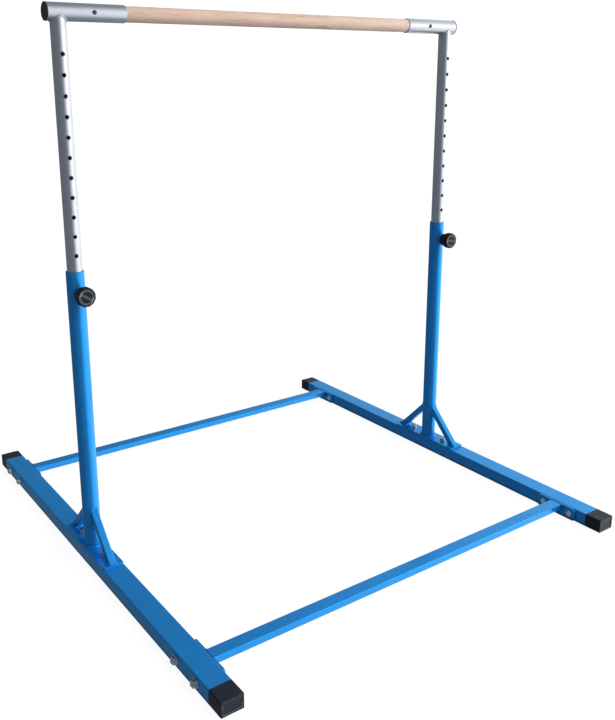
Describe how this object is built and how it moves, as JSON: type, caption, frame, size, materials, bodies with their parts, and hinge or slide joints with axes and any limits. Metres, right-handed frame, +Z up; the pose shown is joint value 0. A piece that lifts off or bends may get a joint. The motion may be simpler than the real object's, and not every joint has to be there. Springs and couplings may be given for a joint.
{
  "type": "gymnastics horizontal bar",
  "caption": "Free-standing gymnastics horizontal bar: a round wooden bar in steel sleeves on telescoping, pin-locked posts, braced on a bolted tubular base with capped feet.",
  "frame": {"origin": "on the floor, midway between the posts, under the bar", "axes": "+X along the bar to the right, +Y from the knobs' side to the back, +Z up"},
  "size_m": [1.398, 1.504, 1.5007],
  "materials": {
    "blue_paint": "gloss blue powder coat",
    "silver_paint": "satin silver powder coat",
    "zinc_plate": "bright zinc plate",
    "spring_steel": "plain steel",
    "dark_screw": "dark oxide",
    "cap_plastic": "black moulded plastic",
    "knob_plastic": "black moulded plastic, worn on the raised edges",
    "beech": "sanded, unvarnished beech"
  },
  "bodies": {
    "base_frame": {"left_leg": "blue_paint", "left_front_leg_cap": "cap_plastic", "left_front_rail_plate": "blue_paint", "left_front_brace": "blue_paint", "left_rear_leg_cap": "cap_plastic", "left_rear_rail_plate": "blue_paint", "left_rear_brace": "blue_paint", "left_rail_bolts": "zinc_plate", "left_rail_washers": "zinc_plate", "left_rail_nuts": "zinc_plate", "left_post_bolts": "zinc_plate", "left_post_washers": "zinc_plate", "left_post_nuts": "zinc_plate", "left_post_lock_washers": "zinc_plate", "left_foot_plate": "blue_paint", "left_lower_post": "blue_paint", "left_guide_bush": "cap_plastic", "left_boss": "blue_paint", "left_plunger_barrel": "zinc_plate", "left_plunger_spring": "spring_steel", "right_leg": "blue_paint", "right_front_leg_cap": "cap_plastic", "right_front_rail_plate": "blue_paint", "right_front_brace": "blue_paint", "right_rear_leg_cap": "cap_plastic", "right_rear_rail_plate": "blue_paint", "right_rear_brace": "blue_paint", "right_rail_bolts": "zinc_plate", "right_rail_washers": "zinc_plate", "right_rail_nuts": "zinc_plate", "right_post_bolts": "zinc_plate", "right_post_washers": "zinc_plate", "right_post_nuts": "zinc_plate", "right_post_lock_washers": "zinc_plate", "right_foot_plate": "blue_paint", "right_lower_post": "blue_paint", "right_guide_bush": "cap_plastic", "right_boss": "blue_paint", "right_plunger_barrel": "zinc_plate", "right_plunger_spring": "spring_steel", "front_rail": "blue_paint", "rear_rail": "blue_paint"},
    "upper_frame": {"left_inner_post": "silver_paint", "left_sleeve": "silver_paint", "left_end_plug": "cap_plastic", "left_bar_screw": "dark_screw", "right_inner_post": "silver_paint", "right_sleeve": "silver_paint", "right_end_plug": "cap_plastic", "right_bar_screw": "dark_screw", "wooden_bar": "beech"},
    "left_pin": {"left_plunger_pin": "spring_steel"},
    "right_pin": {"right_plunger_pin": "spring_steel"},
    "left_knob_grip": {"left_knob": "knob_plastic"},
    "right_knob_grip": {"right_knob": "knob_plastic"}
  },
  "joints": [
    {"name": "bar_height", "type": "slide", "parent": "base_frame", "child": "upper_frame", "axis": [0, 0, 1], "range_m": [-0.6, 0]},
    {"name": "left_pin_pull", "type": "slide", "parent": "base_frame", "child": "left_pin", "axis": [0, -1, 0], "range_m": [0, 0.012], "stiffness_N_per_m": 2000, "springref_m": -0.006, "deforming": ["left_plunger_spring"]},
    {"name": "left_knob_turn", "type": "hinge", "parent": "left_pin", "child": "left_knob_grip", "pos_m": [-0.656, -0.06, 0.779], "axis": [0, -1, 0], "continuous": true},
    {"name": "right_pin_pull", "type": "slide", "parent": "base_frame", "child": "right_pin", "axis": [0, -1, 0], "range_m": [0, 0.012], "stiffness_N_per_m": 2000, "springref_m": -0.006, "deforming": ["right_plunger_spring"]},
    {"name": "right_knob_turn", "type": "hinge", "parent": "right_pin", "child": "right_knob_grip", "pos_m": [0.656, -0.06, 0.779], "axis": [0, -1, 0], "continuous": true}
  ]
}
